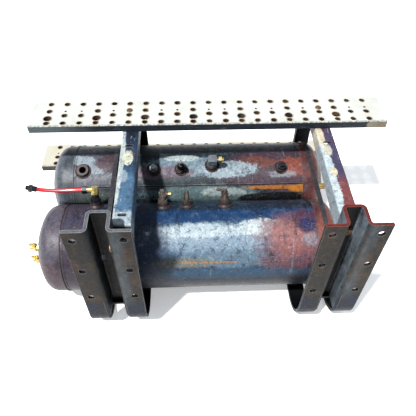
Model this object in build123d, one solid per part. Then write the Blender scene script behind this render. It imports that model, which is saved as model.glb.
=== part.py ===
from build123d import *
import os
from math import atan2, cos, radians, sin, sqrt

# Twin air-reservoir and step assembly for a heavy vehicle's frame rail.
# X runs along the tanks, Y points outboard from the rail face (Y = 0), Z is up.
# The origin is on the rail face, at the centre of the left hanger's four corner
# bolt holes. The model is drawn from a construction point midway between the
# hangers, level with the underside of the cradle straps, and each finished
# piece is moved to the origin as it is written.

os.makedirs("parts", exist_ok=True)

# ---- driving dimensions, millimetres ----
top_z = 450.0            # top edge of the hangers
hanger_x = 281.0         # hanger axes at -x and +x
hanger_w = 150.0         # over both flanges
hat_w = 55.0             # outside width of the raised web
hat_d = 62.0             # rail face to outboard face of the web
plate_t = 8.0            # hanger plate
web_end_z = 82.0         # lower end of the web and risers
bend_r = 100.0           # outside radius of the strap bend
strap_end_y = 566.0      # outboard end of the cradle straps
hole_r = 8.75            # frame bolt holes
hole_cx = 54.5           # hole columns each side of the hanger axis
hole_z = (420.0, 303.0, 186.0)

tank_r = 120.65
wall = 3.0
tank_x0, tank_x1 = -505.0, 335.0
tank_z = 147.0
front_y, rear_y = 187.0, 432.0
crown_r, knuckle_r = 200.0, 34.0   # dished heads

arm_top = 395.0
arm_w = 45.0
arm_t = 6.0
arm_root_h, arm_tip_h = 56.0, 30.0
arm_tip_y = 499.0
left_arm_x, right_arm_x = -240.0, 290.0

plank_w = 113.0
plank_l = 981.0
plank_t = 3.0
plank_lip = 21.0
pitch = 44.2
columns = 21
up_x, up_y, up_z = -24.0, 390.0, 416.0     # centre x, front lip y, top z
lo_x, lo_y, lo_z = -107.4, 583.0, 86.0

strap_x = (-299.0, 277.0)
strap_w, strap_t = 12.0, 3.0

stringer_w = 46.0
stringer_y = 558.5
parts = {}


def put(name, *shapes):
    solids = []
    for s in shapes:
        solids += list(s.solids())
    parts[name] = Compound(label=name, children=solids) if len(solids) > 1 else solids[0]


def box(x0, x1, y0, y1, z0, z1):
    return Pos((x0 + x1) / 2, (y0 + y1) / 2, (z0 + z1) / 2) * Box(x1 - x0, y1 - y0, z1 - z0)


def cyl(p, d, r, length):
    """A cylinder of radius r from p along direction d."""
    return Plane(origin=p, z_dir=d) * Cylinder(r, length, align=(Align.CENTER, Align.CENTER, Align.MIN))


def cone(p, d, r0, r1, length):
    return Plane(origin=p, z_dir=d) * Cone(r0, r1, length, align=(Align.CENTER, Align.CENTER, Align.MIN))


def hexa(p, d, af, length):
    """A hexagonal prism, af across flats, with lightly turned corners."""
    pl = Plane(origin=p, z_dir=d)
    h = extrude(pl * RegularPolygon(af / 2, 6, major_radius=False), length)
    turn = pl * Cylinder(af * 0.556, length, align=(Align.CENTER, Align.CENTER, Align.MIN))
    return h & turn


def along(p, d, s):
    return (p[0] + d[0] * s, p[1] + d[1] * s, p[2] + d[2] * s)


def yz_face(pts, x0, x1):
    """A polygon in the YZ plane, extruded from x0 to x1."""
    f = Plane(origin=(x0, 0, 0), x_dir=(0, 1, 0), z_dir=(1, 0, 0)) * make_face(Polyline(*pts, close=True))
    return extrude(f, x1 - x0)


# ---- hangers: a hat section whose two flanges run on as J-shaped cradle straps ----
def hanger(cx):
    h2, w2 = hat_w / 2, hanger_w / 2
    t = plate_t
    pts = [(-w2, 0), (-h2 + t, 0), (-h2 + t, hat_d - t), (h2 - t, hat_d - t), (h2 - t, 0), (w2, 0),
           (w2, t), (h2, t), (h2, hat_d), (-h2, hat_d), (-h2, t), (-w2, t)]
    f = make_face(Polyline(*pts, close=True))
    big = [v for v in f.vertices() if abs(abs(v.X) - (h2 - t)) < .1 and v.Y < 1 or abs(abs(v.X) - h2) < .1 and v.Y > hat_d - 1]
    f = fillet(big, 13.0)
    small = [v for v in f.vertices() if abs(abs(v.X) - h2) < .1 and abs(v.Y - t) < .1 or abs(abs(v.X) - (h2 - t)) < .1 and abs(v.Y - hat_d + t) < .1]
    f = fillet(small, 5.0)
    body = Pos(cx, 0, web_end_z) * extrude(f, top_z - web_end_z)
    # the lower end of the web is trimmed clear of the flanges' bends
    body -= box(cx - w2 - 1, cx - h2 - 0.01, -1, hat_d + 1, web_end_z - 1, bend_r)
    body -= box(cx + h2 + 0.01, cx + w2 + 1, -1, hat_d + 1, web_end_z - 1, bend_r)
    for s in (-1, 1):
        a, b = sorted((cx + s * (h2 - 0.0), cx + s * w2))
        ring = cyl((a, bend_r, bend_r), (1, 0, 0), bend_r, b - a) - cyl((a - 1, bend_r, bend_r), (1, 0, 0), bend_r - t, b - a + 2)
        ring &= box(a, b, 0, bend_r, 0, bend_r)
        body += ring
        body += box(a, b, 0, t, bend_r - 0.5, bend_r + 60)
        body += box(a, b, bend_r, strap_end_y, 0, t)
        for z in hole_z:
            body -= cyl((cx + s * hole_cx, -1, z), (0, 1, 0), hole_r, t + 2)
    return body


lh, rh = hanger(-hanger_x), hanger(hanger_x)
# holes for the bolts that hold the arms' roots
rh -= cyl((right_arm_x - 6, 40, 367.0), (0, 1, 0), 6.5, 40)
lh -= cyl((-hanger_x + 15, 36.0, 345.0), (1, 0, 0), 6.5, 20)
put("left_hanger", lh)
put("right_hanger", rh)

# cross ties: a flat plate joining each pair of strap ends, and an anchor under each web
anchors = []
for nm, cx, sx in (("left", -hanger_x, strap_x[0]), ("right", hanger_x, strap_x[1])):
    put(f"{nm}_cross_tie", box(cx - 74, cx + 74, 518, strap_end_y, 8, 16) - cyl((sx, 554.65, 0), (0, 0, 1), 6.8, 40))
    anchors.append(box(cx - 27, cx + 27, 42, 80, web_end_z - 8, web_end_z) - cyl((sx, 64.35, 60), (0, 0, 1), 6.8, 40))
put("strap_anchors", *anchors)

# ---- tanks ----
ring_x = 84.0            # head joint, measured from the tank's tip


def head_profile():
    """Half section of a dished head: x outward from the joint, y the radius."""
    rise = crown_r - sqrt((crown_r - knuckle_r) ** 2 - (tank_r - knuckle_r) ** 2)
    kx, ky = ring_x - rise, tank_r - knuckle_r
    cx = ring_x - crown_r

    def arc(centre, r, a0, a1):
        pt = [(centre[0] + r * cos(a), centre[1] + r * sin(a)) for a in (a0, (a0 + a1) / 2, a1)]
        return ThreePointArc(*pt), pt
    from_axis = atan2(ky, kx - cx)
    edges = []
    k1, kp1 = arc((kx, ky), knuckle_r, radians(90), from_axis)
    c1, cp1 = arc((cx, 0), crown_r, from_axis, 0)
    c2, cp2 = arc((cx, 0), crown_r - wall, 0, from_axis)
    k2, kp2 = arc((kx, ky), knuckle_r - wall, from_axis, radians(90))
    edges = [Line((0, tank_r), kp1[0]), k1, c1, Line(cp1[2], cp2[0]), c2, k2, Line(kp2[2], (0, tank_r - wall)), Line((0, tank_r - wall), (0, tank_r))]
    return Wire(edges)


def tank(yc, nm, ports, seam_deg):
    xa, xb = tank_x0 + ring_x, tank_x1 - ring_x
    tube = cyl((xa, yc, tank_z), (1, 0, 0), tank_r, xb - xa) - cyl((xa - 1, yc, tank_z), (1, 0, 0), tank_r - wall, xb - xa + 2)
    # rolled bead just inside each joint
    for x in (xa + 4, xb - 14):
        prof = Plane(origin=(x, yc, tank_z), x_dir=(1, 0, 0), z_dir=(0, -1, 0)) * make_face(
            Polyline((0, tank_r - 1), (3, tank_r - 1), (3, tank_r), (2.2, tank_r + 1.1), (0.8, tank_r + 1.1), (0, tank_r), close=True))
        tube += revolve(prof, Axis((x, yc, tank_z), (1, 0, 0)), 360)
    # lengthwise seam
    ang = radians(seam_deg)
    d = (0, sin(ang), cos(ang))
    p = (xa + 16, yc + d[1] * (tank_r - 1.2), tank_z + d[2] * (tank_r - 1.2))
    seam = Plane(origin=p, x_dir=(1, 0, 0), z_dir=d) * Box(xb - xa - 32, 7, 2.4, align=(Align.MIN, Align.CENTER, Align.MIN))
    tube += seam
    bungs = []
    for (x, a, r_out, h, r_in) in ports:
        d = (0, sin(radians(a)), cos(radians(a)))
        base = (x, yc + d[1] * (tank_r - 8), tank_z + d[2] * (tank_r - 8))
        tube -= cyl(base, d, r_out, 20)
        b = cyl(base, d, r_out, 8 + h)
        b += cone(along(base, d, 8 + 0.6), d, r_out + 3, r_out + 0.8, min(4, h - 0.6)) - cyl((xa, yc, tank_z), (1, 0, 0), tank_r, xb - xa)
        b -= cyl(along(base, d, -1), d, r_in, 12 + h)
        bungs.append(b)
    put(f"{nm}_tank_shell", tube)
    put(f"{nm}_tank_bungs", *bungs)
    for side, sgn, x in (("left", -1, xa), ("right", 1, xb)):
        pl = Plane(origin=(x, yc, tank_z), x_dir=(sgn, 0, 0), z_dir=(0, -sgn, 0))
        head = revolve(pl * make_face(head_profile()), Axis((x, yc, tank_z), (1, 0, 0)), 360)
        # backing ring that slips inside the shell, and the weld bead
        inner = cyl((x - sgn * 8, yc, tank_z), (sgn, 0, 0), tank_r - wall, 12) - cyl((x - sgn * 9, yc, tank_z), (sgn, 0, 0), tank_r - 2 * wall, 14)
        bead = cyl((x + sgn * 0.0, yc, tank_z), (sgn, 0, 0), tank_r + 1.6, 4.0) - cyl((x - sgn * 1, yc, tank_z), (sgn, 0, 0), tank_r - 1, 6.0)
        head = head + inner + bead
        parts[f"{nm}_tank_{side}_head"] = head


f_ports = [(-342, 31, 15, 12, 8), (-157, 25, 15, 12, 8), (-91, 25, 12, 10, 6), (13, 25, 15, 12, 8), (-85, 180, 11, 2, 6)]
r_ports = [(-394, -25, 17, 10, 10), (-187, -25, 14, 8, 8), (-107, -25, 14, 8, 8), (-15, -20, 16, 12, 8), (190, -25, 14, 8, 8), (-85, 180, 11, 2, 6)]
tank(front_y, "front", f_ports, 62)
tank(rear_y, "rear", r_ports, -49)


def port(which, i):
    """Mouth centre and outward direction of a port."""
    yc = front_y if which == "f" else rear_y
    x, a, r_out, h, r_in = (f_ports if which == "f" else r_ports)[i]
    d = (0, sin(radians(a)), cos(radians(a)))
    return (x, yc + d[1] * (tank_r + h), tank_z + d[2] * (tank_r + h)), d, r_in


def nipple(p, d, r_in, depth=14.0):
    """The threaded end that fills a bung's bore."""
    return cyl(along(p, d, -depth), d, r_in, depth)


# head bosses on the front tank's left head, for the drain cocks
boss_z = (138.0, 101.0)
boss_y = (196.0, 180.0)
hd = parts["front_tank_left_head"]
bosses = []
for by, bz in zip(boss_y, boss_z):
    hd -= cyl((tank_x0 - 20, by, bz), (1, 0, 0), 11, 60)
    b = cyl((tank_x0 - 7, by, bz), (1, 0, 0), 11, 22) - cyl((tank_x0 - 8, by, bz), (1, 0, 0), 6, 24)
    bosses.append(b)
put("front_tank_left_head", hd)
for n in ("front_tank_right_head", "rear_tank_left_head"):
    put(n, parts[n])
# side boss on the rear tank's right head for the brass plug
pl_p = (tank_x1 - 32.0, rear_y - 84.0, tank_z + 60.0)
rr = parts["rear_tank_right_head"]
rr -= cyl((pl_p[0] - 60, pl_p[1], pl_p[2]), (1, 0, 0), 9, 120)
put("rear_tank_right_head", rr)
put("tank_head_bosses", *bosses, cyl((pl_p[0] - 14, pl_p[1], pl_p[2]), (1, 0, 0), 9, 34) - cyl((pl_p[0] - 15, pl_p[1], pl_p[2]), (1, 0, 0), 6, 40))
side_plug = cyl((pl_p[0] - 2, pl_p[1], pl_p[2]), (1, 0, 0), 6, 22) + hexa((pl_p[0] + 20, pl_p[1], pl_p[2]), (1, 0, 0), 16, 9)
side_plug += cyl((pl_p[0] + 29, pl_p[1], pl_p[2]), (1, 0, 0), 5, 4)
put("rear_tank_side_plug", side_plug)

# ---- rubber: liners on the hangers, saddles on the straps ----
liners = []
for la_, lb_ in ((-290.0, -257.0), (257.0, 268.0), (286.0, 304.0)):
    blk = box(la_, lb_, hat_d, hat_d + 16, tank_z - 46, tank_z + 46)
    blk -= cyl((la_ - 10, front_y, tank_z), (1, 0, 0), tank_r + 0.2, 120)
    liners.append(blk)
put("hanger_liners", *liners)
for nm, yc in (("front", front_y), ("rear", rear_y)):
    sads = []
    for cx in (-hanger_x, hanger_x):
        for s in (-1, 1):
            a, b = sorted((cx + s * (hat_w / 2 + 5), cx + s * (hanger_w / 2 - 5)))
            y1 = yc + 62
            if s < 0 and cx > 0:
                b = 234.0          # stops short of the rolled bead
            s_ = box(a, b, yc - 62, min(y1, 499.0), 8, 40) - cyl((a - 1, yc, tank_z), (1, 0, 0), tank_r + 0.2, b - a + 2)
            sads.append(s_)
    put(f"{nm}_tank_saddles", *sads)

# ---- hold-down straps: flat bands over both tanks, with a stud at each end ----
ri, ro = tank_r + 0.5, tank_r + 0.5 + strap_t
for nm, x in (("left", strap_x[0]), ("right", strap_x[1])):
    a, b = x - strap_w / 2, x + strap_w / 2
    band = box(a, b, front_y, rear_y, tank_z + ri, tank_z + ro)
    for yc, y0, y1 in ((front_y, front_y - ro - 1, front_y), (rear_y, rear_y, rear_y + ro + 1)):
        ring = cyl((a, yc, tank_z), (1, 0, 0), ro, strap_w) - cyl((a - 1, yc, tank_z), (1, 0, 0), ri, strap_w + 2)
        band += ring & box(a - 1, b + 1, y0, y1, tank_z, tank_z + ro + 1)
    band += box(a, b, front_y - ro, front_y - ri, 74.5, tank_z)
    band += box(a, b, rear_y + ri, rear_y + ro, 15.4, tank_z)
    band += cyl((x, 64.35, 75.0), (0, 0, -1), 4.5, 22)
    band += cyl((x, 554.65, 15.9), (0, 0, -1), 4.5, 15.4)
    put(f"{nm}_hold_down_strap", band)
nuts = []
for x in strap_x:
    for y, z in ((64.35, 74.0), (554.65, 8.0)):
        w = cyl((x, y, z), (0, 0, -1), 11 if z > 9 else 8.4, 2.0) - cyl((x, y, z + 1), (0, 0, -1), 4.7, 5)
        n = hexa((x, y, z - 2.0), (0, 0, -1), 15, 7.0 if z > 9 else 5.0) - cyl((x, y, z + 1), (0, 0, -1), 4.55, 14)
        nuts += [w, n]
put("strap_nuts", *nuts)

# ---- arms: channels over the tanks, open side down, deeper at the root ----
plank_bolt_y = up_y + 65.5


def slot(x, y, z):
    """A rounded slot across an arm's top."""
    return Pos(x, y, z) * extrude(SlotOverall(22, 9), 20, both=True)


def arm(x, y0, lowest):
    h = arm_w / 2
    a = box(x - h, x + h, y0, arm_tip_y, arm_top - arm_t, arm_top)
    for s in (-1, 1):
        p, q = sorted((x + s * h, x + s * (h - arm_t)))
        a += yz_face([(y0, arm_top - arm_t / 2), (arm_tip_y, arm_top - arm_t / 2), (arm_tip_y, arm_top - arm_tip_h), (y0, arm_top - lowest)], p, q)
    long_edges = [e for e in a.edges().filter_by(Axis.Y) if abs(e.center().Z - arm_top) < 0.1]
    a = fillet(long_edges, 5.0)
    for y in (93.0, 331.0):
        a -= slot(x, y, arm_top)
    return a


la = arm(left_arm_x, hat_d + arm_t, arm_root_h)
h = arm_w / 2
leg = box(left_arm_x - h, left_arm_x + h, hat_d, hat_d + arm_t, 196, arm_top)
leg = fillet([e for e in leg.edges().filter_by(Axis.X) if abs(e.center().Z - arm_top) < .1 and abs(e.center().Y - hat_d) < .1], 5.5)
leg = fillet([e for e in leg.edges().filter_by(Axis.Y) if abs(e.center().Z - 196) < .1], 12.0)
la += leg
la -= cyl((left_arm_x + 2, 50, 345), (0, 1, 0), 6.5, 30)
ra = arm(right_arm_x, hat_d + arm_t, arm_root_h)
ra += box(right_arm_x - h, right_arm_x + h, hat_d, hat_d + arm_t, arm_top - arm_root_h, arm_top)
ra -= cyl((right_arm_x - 6, 50, 367), (0, 1, 0), 6.5, 30)
for i in (5,):
    la -= cyl((up_x + (i - 10) * pitch, plank_bolt_y, arm_top - 20), (0, 0, 1), 5.5, 40)
for i in (17,):
    ra -= cyl((up_x + (i - 10) * pitch, plank_bolt_y, arm_top - 20), (0, 0, 1), 5.5, 40)
put("left_arm", la)
put("right_arm", ra)
br = box(-253.5, -247.5, 14, hat_d, 302, 388) + box(-253.5, -218.5, hat_d - 6, hat_d, 302, 388)
br -= cyl((-260, 36, 345), (1, 0, 0), 6.5, 30)
br -= cyl((left_arm_x + 2, 50, 345), (0, 1, 0), 6.5, 30)
put("left_arm_bracket", br)


def bolt(p, d, grip, r=6.0, af=18.0, head=8.0, extra=6.0, wash=2.0):
    """Hex bolt with head at p, shank along d, washer, and nut beyond the grip."""
    back = (-d[0], -d[1], -d[2])
    b = hexa(p, back, af, head) + cyl(p, d, r, grip + wash + head + extra)
    w = cyl(along(p, d, grip), d, r * 1.7, wash) - cyl(along(p, d, grip - 1), d, r + 0.3, wash + 2)
    n = hexa(along(p, d, grip + wash), d, af, head) - cyl(along(p, d, grip), d, r + 0.05, head + wash + 6)
    return [b, w, n]


put("arm_bolts", *bolt((right_arm_x - 6, 54, 367), (0, 1, 0), 14), *bolt((-261.5, 36, 345), (1, 0, 0), 14, extra=2.0), *bolt((left_arm_x + 2, 56, 345), (0, 1, 0), 12, extra=3.0))

# ---- step planks: channels with pierced treads ----


def plank(x, y, z, special, bolts, nm):
    x0 = x - plank_l / 2
    hs = []
    for i in range(columns):
        cx = (i - 10) * pitch
        hs.append((cx, 97.0, 7.3))
        hs.append((cx, 14.0, 7.3))
        if i % 3 == special:
            hs.append((cx, 65.5, 7.3))
            hs.append((cx, 34.0, 10.5))
        else:
            hs.append((cx, 65.5, 5.5 if i in bolts else 3.0))
            hs.append((cx, 46.5, 7.3))
    top = Pos(0, plank_w / 2) * Rectangle(plank_l, plank_w)
    top -= Sketch() + [Pos(cx, cy) * Circle(r) for cx, cy, r in hs]
    p = Pos(x, y, z - plank_t) * extrude(top, plank_t)
    for a in (y, y + plank_w - plank_t):
        p += box(x0, x0 + plank_l, a, a + plank_t, z - plank_lip, z - plank_t + 0.0)
    edges = [e for e in p.edges().filter_by(Axis.X) if abs(e.center().Z - z) < .1 and (abs(e.center().Y - y) < .1 or abs(e.center().Y - y - plank_w) < .1)]
    p = fillet(edges, 2.4)
    # pressed collars under the large holes
    for i in range(columns):
        if i % 3 == special:
            c = (x + (i - 10) * pitch, y + 34.0, z - plank_t)
            p += cyl(c, (0, 0, -1), 12.3, 5.0) - cyl(along(c, (0, 0, 1), 1), (0, 0, -1), 10.5, 8.0)
    put(nm, p)
    return [(x + (i - 10) * pitch, y + 65.5) for i in bolts]


ub = plank(up_x, up_y, up_z, 0, (5, 17), "upper_step_plank")
lb = plank(lo_x, lo_y, lo_z, 2, (7, 19), "lower_step_plank")


spacers = []


def plank_bolts(nm, pts, z_top, z_low, under):
    """Low domed heads, and a spacer tube between the tread and its support."""
    bs, sp = [], []
    for x, y in pts:
        b = cyl((x, y, z_top), (0, 0, 1), 8.5, 2.6) + cyl((x, y, z_top), (0, 0, -1), 5.0, z_top - under + 10)
        b = fillet(b.edges().filter_by(GeomType.CIRCLE).sort_by(Axis.Z)[-1], 2.0)
        w = cyl((x, y, under), (0, 0, -1), 10, 2.0) - cyl((x, y, under + 1), (0, 0, -1), 5.3, 4)
        n = hexa((x, y, under - 2.0), (0, 0, -1), 16, 7.0) - cyl((x, y, under), (0, 0, -1), 5.05, 12)
        bs += [b, w, n]
        sp.append(cyl((x, y, z_low), (0, 0, 1), 9, z_top - plank_t - z_low) - cyl((x, y, z_low - 1), (0, 0, 1), 5.3, 40))
    put(nm + "_bolts", *bs)
    spacers.extend(sp)


plank_bolts("upper_plank", ub, up_z, arm_top, arm_top - arm_t)
plank_bolts("lower_plank", lb, lo_z, lo_z - plank_lip, lo_z - plank_lip - 8)

put("plank_spacers", *spacers)

# ---- stringers from the arm tips down to the cross ties, and step brackets ----
for nm, x in (("left", left_arm_x), ("right", right_arm_x)):
    y, t, d = stringer_y, 6.0, 12.0
    hw = stringer_w / 2
    web = yz_face([(y, 16), (y + t, 16), (y + t, 251), (arm_tip_y + t, 366), (arm_tip_y + t, 389), (arm_tip_y, 389), (arm_tip_y, 364), (y, 249)], x - hw, x + hw)
    s = web
    for k in (-1, 1):
        p, q = sorted((x + k * hw, x + k * (hw - 5)))
        s += yz_face([(y + t - 1, 16), (y + t + d, 16), (y + t + d, 254), (arm_tip_y + t + d, 369), (arm_tip_y + t + d, 389), (arm_tip_y + t - 1, 389), (arm_tip_y + t - 1, 365), (y + t - 1, 250)], p, q)
    put(f"{nm}_stringer", s)
    zb = lo_z - plank_lip
    bx = x if nm == "right" else x
    b = box(x - hw + 5.2, x + hw - 5.2, y + t, lo_y + 100, zb - 8, zb)
    b += yz_face([(y + t, zb - 7), (lo_y + 92, zb - 7), (lo_y + 92, zb - 12), (y + t, zb - 42)], x - 4, x + 4) if False else yz_face([(y + t, zb - 7), (lo_y + 92, zb - 7), (lo_y + 92, zb - 12), (y + t, zb - 42)], x - hw + 5.2, x - hw + 10.2)
    for (px, py) in lb:
        b -= cyl((px, py, 0), (0, 0, 1), 5.5, 100)
    put(f"{nm}_step_bracket", b)

# ---- fittings ----
# hose line on the front tank's left port
p, d, r = port("f", 0)
ad = nipple(p, d, r) + hexa(p, d, 26, 12) + cyl(along(p, d, 12), d, 9.5, 10)
ad -= cyl(along(p, d, 2), d, 6.0, 40)
put("hose_adapter", ad)
e0 = along(p, d, 22.1)
el = cyl(along(p, d, 4), d, 5.95, 20) + cyl(e0, d, 10.5, 5) + hexa(along(e0, d, 4), d, 19, 17)
c = along(e0, d, 12.5)
el += cyl(c, (-1, 0, 0), 7.5, 20)
put("hose_elbow", el)
n0 = (c[0] - 20, c[1], c[2])
put("hose_nut", hexa(n0, (-1, 0, 0), 19, 13))
h0 = (n0[0] - 13, c[1], c[2])
hose_pts = [h0, (h0[0] - 45, c[1] + 0.5, c[2] - 1.5), (h0[0] - 90, c[1] + 1.5, c[2] - 1.0), (h0[0] - 122, c[1] + 2, c[2] + 4.5)]
path = Spline(*hose_pts, tangents=((-1, 0, 0), (-1, 0, 0.28)))
hose = sweep(Plane(origin=h0, z_dir=(-1, 0, 0)) * Circle(5.6), path=path)
put("red_hose", hose)
hd_ = (-0.963, 0, 0.27)
m = (hd_[0] ** 2 + hd_[2] ** 2) ** 0.5
hd_ = (hd_[0] / m, 0, hd_[2] / m)
k0 = hose_pts[-1]
cp = cyl(along(k0, hd_, 0.05), hd_, 7.6, 12) + hexa(along(k0, hd_, 12), hd_, 19, 9) + cyl(along(k0, hd_, 21), hd_, 6.2, 8)
cp -= cyl(along(k0, hd_, 10), hd_, 3.4, 30)
put("hose_end_coupling", cp)

# check valve on the front tank, with a sliding poppet inside
p, d, r = port("f", 1)
cv = nipple(p, d, r) + hexa(p, d, 25, 9) + cyl(along(p, d, 9), d, 9.5, 9) + hexa(along(p, d, 18), d, 20, 11) + cyl(along(p, d, 29), d, 6.5, 7)
cv -= cyl(along(p, d, -15), d, 4.05, 40)
cv -= cyl(along(p, d, 3), d, 6.6, 13)
side = along(p, d, 23.5)
cv += cyl((side[0] + 8, side[1], side[2]), (1, 0, 0), 4.5, 8)
put("check_valve_body", cv)
pp = cyl(along(p, d, 3.4), d, 6.3, 4) + cyl(along(p, d, 7.0), d, 4.0, 12)
put("check_valve_poppet", pp)
put("check_valve_side_cap", hexa((side[0] + 16, side[1], side[2]), (1, 0, 0), 9, 7))

p, d, r = port("f", 2)
th = nipple(p, d, r) + hexa(p, d, 19, 8) + cyl(along(p, d, 8), d, 7, 20) + cyl(along(p, d, 28), d, 5, 7)
th = th - cyl(along(p, d, 24), d, 2.5, 20)
put("tall_adapter", th)

p, d, r = port("f", 3)
lf = nipple(p, d, r) + hexa(p, d, 26, 10) + cyl(along(p, d, 10), d, 9.5, 8) + hexa(along(p, d, 18), d, 19, 9) + cyl(along(p, d, 27), d, 6, 9)
s0 = along(p, d, 31)
lf += cyl((s0[0] - 3, s0[1], s0[2]), (-1, 0, 0.25), 4, 20)
put("front_line_fitting", lf)

# rear tank: plug, safety valve with its pull ring, elbow with brass nut, plug
p, d, r = port("r", 1)
put("rear_adapter_plug", nipple(p, d, r) + hexa(p, d, 21, 9) + cyl(along(p, d, 9), d, 8, 6) + hexa(along(p, d, 15), d, 14, 6))
p, d, r = port("r", 2)
sv = nipple(p, d, r) + hexa(p, d, 24, 9) + cyl(along(p, d, 9), d, 10, 15) + cone(along(p, d, 24), d, 10, 6.5, 5)
sv -= cyl(along(p, d, -15), d, 3.05, 60)
sv -= cyl(along(p, d, 6), d, 6.6, 16)
put("safety_valve_body", sv)
st = cyl(along(p, d, 6.4), d, 6.3, 4) + cyl(along(p, d, 8), d, 3.0, 35.5)
st -= cyl(along(along(p, d, 39.5), (0, -d[2], d[1]), -10), (0, -d[2], d[1]), 2.15, 20)
put("safety_valve_stem", st)
rc = along(p, d, 46.5)
ring = Plane(origin=rc, z_dir=(1, 0, 0)) * Torus(7.0, 1.3)
put("safety_valve_pull_ring", ring)
p, d, r = port("r", 3)
eb = nipple(p, d, r) + hexa(p, d, 26, 8) + cyl(along(p, d, 8), d, 10, 4) + Plane(origin=along(p, d, 12), x_dir=(1, 0, 0), z_dir=d) * Box(24, 22, 22, align=(Align.CENTER, Align.CENTER, Align.MIN))
q = along(p, d, 23)
eb = eb + cyl((q[0] + 10, q[1], q[2]), (1, 0, 0), 7.0, 8)
put("rear_elbow", eb)
put("rear_elbow_nut", hexa((q[0] + 18, q[1], q[2]), (1, 0, 0), 17, 9) + cyl((q[0] + 27, q[1], q[2]), (1, 0, 0), 5.5, 5))
p, d, r = port("r", 4)
put("rear_square_plug", nipple(p, d, r) + hexa(p, d, 22, 9) + Plane(origin=along(p, d, 9), x_dir=(1, 0, 0), z_dir=d) * Box(11, 11, 9, align=(Align.CENTER, Align.CENTER, Align.MIN)))

# bottom drain valves with a stem that is pushed up
for nm, w in (("front", "f"), ("rear", "r")):
    p, d, r = port(w, 4 if w == "f" else 5)
    db = nipple(p, d, r, 8) + hexa(p, d, 19, 7) + cyl(along(p, d, 7), d, 7, 5)
    db -= cyl(along(p, d, -9), d, 2.55, 60)
    db -= cyl(along(p, d, -5.6), d, 4.2, 6.6)
    put(f"{nm}_drain_body", db)
    put(f"{nm}_drain_stem", cyl(along(p, d, -3.0), d, 3.9, 2.0) + cyl(along(p, d, -2), d, 2.5, 18) + cyl(along(p, d, 16), d, 4.0, 2.0))

# drain cocks on the front tank's left head: body, turning key
for nm, by, bz, tilt in (("upper", boss_y[0], boss_z[0], 28), ("lower", boss_y[1], boss_z[1], -8)):
    bx0 = tank_x0 - 7
    b = cyl((bx0 + 12, by, bz), (-1, 0, 0), 6, 12) + hexa((bx0, by, bz), (-1, 0, 0), 17, 7)
    b += cyl((bx0 - 7, by, bz), (-1, 0, 0), 6.5, 16)
    kx = bx0 - 15
    b += cyl((kx, by, bz - 9), (0, 0, 1), 7.5, 18)
    b += cyl((bx0 - 22, by, bz), (-1, 0, 0), 5.0, 7)
    b -= cyl((kx, by, bz - 12), (0, 0, 1), 4.05, 30)
    b -= cyl((bx0 - 24, by, bz), (-1, 0, 0), 2.5, 20)
    put(f"{nm}_drain_cock_body", b)
    k = cyl((kx, by, bz - 10.5), (0, 0, 1), 4.0, 22) + cyl((kx, by, bz + 9.5), (0, 0, 1), 6.0, 4)
    k += box(kx - 14, kx + 4, by - 2.2, by + 2.2, bz + 11.0, bz + 17.0) 
    k += cyl((kx, by, bz - 12.5), (0, 0, 1), 5.5, 3)
    put(f"{nm}_drain_cock_key", k)

to_origin = Location((hanger_x, 0.0, -(hole_z[0] + hole_z[-1]) / 2))
for name, shape in parts.items():
    export_step(shape.moved(to_origin), f"parts/{name}.step")
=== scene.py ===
import bpy, bmesh, math
from mathutils import Matrix, Vector


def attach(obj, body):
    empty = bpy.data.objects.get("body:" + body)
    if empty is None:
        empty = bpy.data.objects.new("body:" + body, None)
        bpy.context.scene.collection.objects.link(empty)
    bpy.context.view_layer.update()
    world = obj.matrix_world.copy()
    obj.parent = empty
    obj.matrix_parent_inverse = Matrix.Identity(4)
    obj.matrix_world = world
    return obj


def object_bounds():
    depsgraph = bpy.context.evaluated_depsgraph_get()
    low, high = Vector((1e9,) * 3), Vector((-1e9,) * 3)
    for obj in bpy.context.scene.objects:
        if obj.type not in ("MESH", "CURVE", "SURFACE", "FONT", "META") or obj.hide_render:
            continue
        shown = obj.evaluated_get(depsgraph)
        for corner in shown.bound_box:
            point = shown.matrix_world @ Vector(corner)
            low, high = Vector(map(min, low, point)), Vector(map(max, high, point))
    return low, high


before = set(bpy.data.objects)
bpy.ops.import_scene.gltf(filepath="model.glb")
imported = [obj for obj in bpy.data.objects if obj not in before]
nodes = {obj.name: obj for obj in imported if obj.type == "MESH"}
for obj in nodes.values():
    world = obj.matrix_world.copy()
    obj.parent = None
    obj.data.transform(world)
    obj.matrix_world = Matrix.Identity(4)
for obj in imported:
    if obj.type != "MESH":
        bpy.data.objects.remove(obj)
cad_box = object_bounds()
# Everything below is laid out from a construction point midway between the hangers, level with the underside of the cradle.
BASE = Vector((0.281, 0.0, -0.303))


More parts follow.
